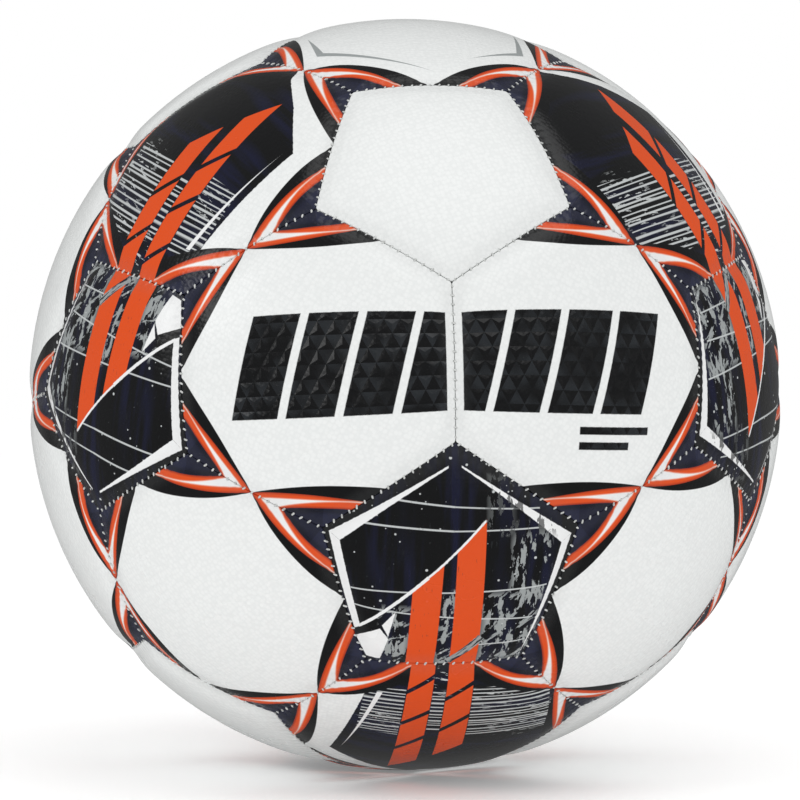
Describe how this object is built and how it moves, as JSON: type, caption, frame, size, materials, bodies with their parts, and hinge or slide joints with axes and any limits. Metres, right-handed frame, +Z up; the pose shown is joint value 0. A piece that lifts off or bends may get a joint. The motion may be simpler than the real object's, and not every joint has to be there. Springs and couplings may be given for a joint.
{
  "type": "futsal ball",
  "caption": "Inflated ball of stitched hexagonal and pentagonal panels with printed star motifs, over a foam-filled bladder with a removable valve core.",
  "frame": {"origin": "centre of the ball", "axes": "+Z up, away from the point that rests on the floor; -Y is the side seen in front, with a plain pentagon above and a dark pentagon below; the valve is at the back, towards +Y and -X"},
  "size_m": [0.2006, 0.2006, 0.2006],
  "materials": {
    "cover_white": "soft sheen, finely embossed, printed",
    "cover_pentagon": "soft sheen, finely embossed, printed",
    "backing_foam": "matt closed-cell foam",
    "lining_weave": "plain weave",
    "thread": "waxed polyester",
    "butyl_bladder": "matt black butyl",
    "valve_rubber": "matt black rubber",
    "valve_core_rubber": "grey rubber, lubricated",
    "filling_foam": "open-cell foam"
  },
  "bodies": {
    "root": {"bladder": "butyl_bladder", "foam_filling": "filling_foam", "hexagon_foam_backings": "backing_foam", "hexagon_linings": "lining_weave", "hexagon_panel_01": "cover_white", "hexagon_panel_02": "cover_white", "hexagon_panel_03": "cover_white", "hexagon_panel_04": "cover_white", "hexagon_panel_05": "cover_white", "hexagon_panel_06": "cover_white", "hexagon_panel_07": "cover_white", "hexagon_panel_08": "cover_white", "hexagon_panel_09": "cover_white", "hexagon_panel_10": "cover_white", "hexagon_panel_11": "cover_white", "hexagon_panel_12": "cover_white", "hexagon_panel_13": "cover_white", "hexagon_panel_14": "cover_white", "hexagon_panel_15": "cover_white", "hexagon_panel_16": "cover_white", "hexagon_panel_17": "cover_white", "hexagon_panel_18": "cover_white", "hexagon_panel_19": "cover_white", "hexagon_panel_20": "cover_white", "hexagon_seam_threads": "thread", "pentagon_foam_backings": "backing_foam", "pentagon_linings": "lining_weave", "pentagon_panel_01": "cover_pentagon", "pentagon_panel_02": "cover_pentagon", "pentagon_panel_03": "cover_pentagon", "pentagon_panel_04": "cover_pentagon", "pentagon_panel_05": "cover_pentagon", "pentagon_panel_06": "cover_pentagon", "pentagon_panel_07": "cover_pentagon", "pentagon_panel_08": "cover_pentagon", "pentagon_panel_09": "cover_pentagon", "pentagon_panel_10": "cover_pentagon", "pentagon_panel_11": "cover_pentagon", "pentagon_panel_12": "cover_pentagon", "pentagon_seam_threads": "thread", "valve_patch": "butyl_bladder", "valve_sleeve": "valve_rubber"},
    "valve_core_body": {"valve_core": "valve_core_rubber"}
  },
  "joints": [
    {"name": "valve_core_slide", "type": "slide", "parent": "root", "child": "valve_core_body", "axis": [-0.4704, 0.8729, -0.1296], "range_m": [0, 0.018]}
  ]
}
